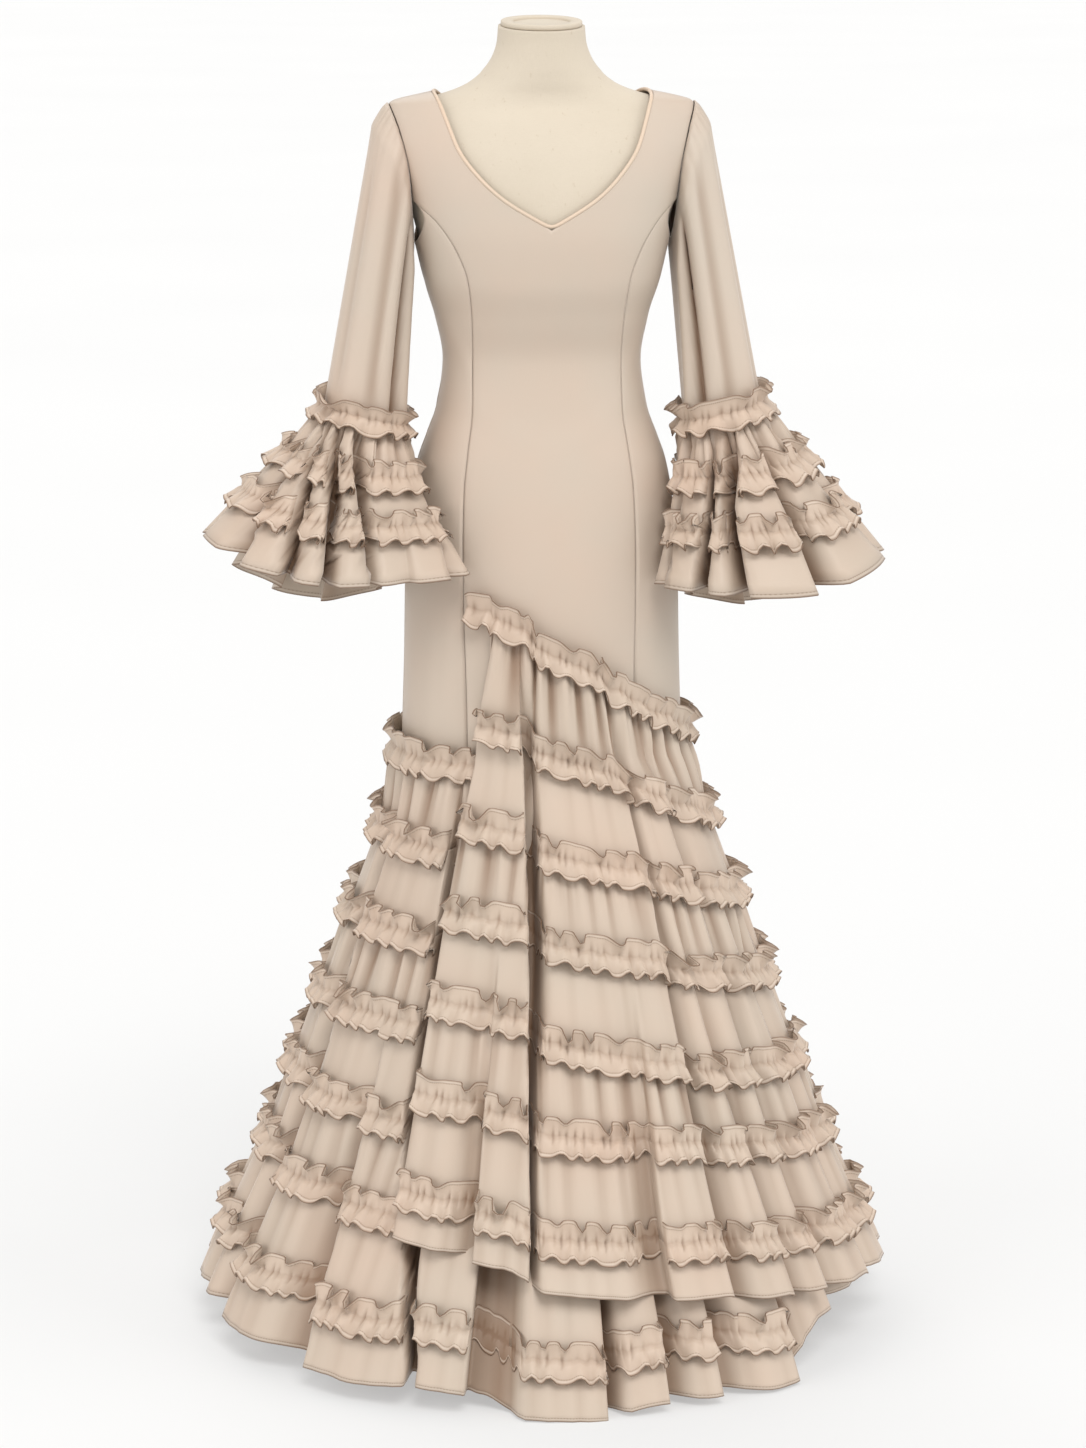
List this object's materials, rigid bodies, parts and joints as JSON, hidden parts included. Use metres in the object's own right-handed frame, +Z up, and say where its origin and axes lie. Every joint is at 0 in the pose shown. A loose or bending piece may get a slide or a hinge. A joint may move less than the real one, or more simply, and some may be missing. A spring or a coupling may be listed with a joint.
{
  "type": "flamenco dress on a dress form",
  "caption": "Long fitted flamenco dress with bell cuffs and a wrapped, ruffled flaring skirt, worn by a limbless dress form on a round base.",
  "frame": {"origin": "on the floor, at the centre of the stand base's flat underside", "axes": "+Z up; the front of the dress faces -Y; +X is the wearer's left"},
  "size_m": [0.8363, 0.8176, 1.5552],
  "materials": {
    "dress_cloth": "smooth matt satin-backed crepe, beige",
    "form_linen": "plain woven cream linen, drawn tight",
    "stand_paint": "satin black paint"
  },
  "bodies": {
    "root": {"back_panel_left": "dress_cloth", "back_panel_right": "dress_cloth", "cuff_flounce_left": "dress_cloth", "cuff_flounce_right": "dress_cloth", "cuff_ruffle_lower_left": "dress_cloth", "cuff_ruffle_lower_right": "dress_cloth", "cuff_ruffle_middle_left": "dress_cloth", "cuff_ruffle_middle_right": "dress_cloth", "cuff_ruffle_upper_left": "dress_cloth", "cuff_ruffle_upper_right": "dress_cloth", "form_body": "form_linen", "form_neck_cap": "form_linen", "front_panel": "dress_cloth", "neck_binding": "dress_cloth", "side_back_left": "dress_cloth", "side_back_right": "dress_cloth", "side_front_left": "dress_cloth", "side_front_right": "dress_cloth", "skirt_ruffle_1_over": "dress_cloth", "skirt_ruffle_1_under": "dress_cloth", "skirt_ruffle_2_over": "dress_cloth", "skirt_ruffle_2_under": "dress_cloth", "skirt_ruffle_3_over": "dress_cloth", "skirt_ruffle_3_under": "dress_cloth", "skirt_ruffle_4_over": "dress_cloth", "skirt_ruffle_4_under": "dress_cloth", "skirt_ruffle_5_over": "dress_cloth", "skirt_ruffle_5_under": "dress_cloth", "skirt_ruffle_6_over": "dress_cloth", "skirt_ruffle_6_under": "dress_cloth", "skirt_ruffle_7_over": "dress_cloth", "skirt_ruffle_7_under": "dress_cloth", "skirt_tier_1_over": "dress_cloth", "skirt_tier_1_under": "dress_cloth", "skirt_tier_2_over": "dress_cloth", "skirt_tier_2_under": "dress_cloth", "skirt_tier_3_over": "dress_cloth", "skirt_tier_3_under": "dress_cloth", "skirt_tier_4_over": "dress_cloth", "skirt_tier_4_under": "dress_cloth", "skirt_tier_5_over": "dress_cloth", "skirt_tier_5_under": "dress_cloth", "skirt_tier_6_over": "dress_cloth", "skirt_tier_6_under": "dress_cloth", "skirt_tier_7_over": "dress_cloth", "skirt_tier_7_under": "dress_cloth", "sleeve_left": "dress_cloth", "sleeve_right": "dress_cloth", "stand_base": "stand_paint", "stand_pole": "stand_paint"}
  },
  "joints": []
}
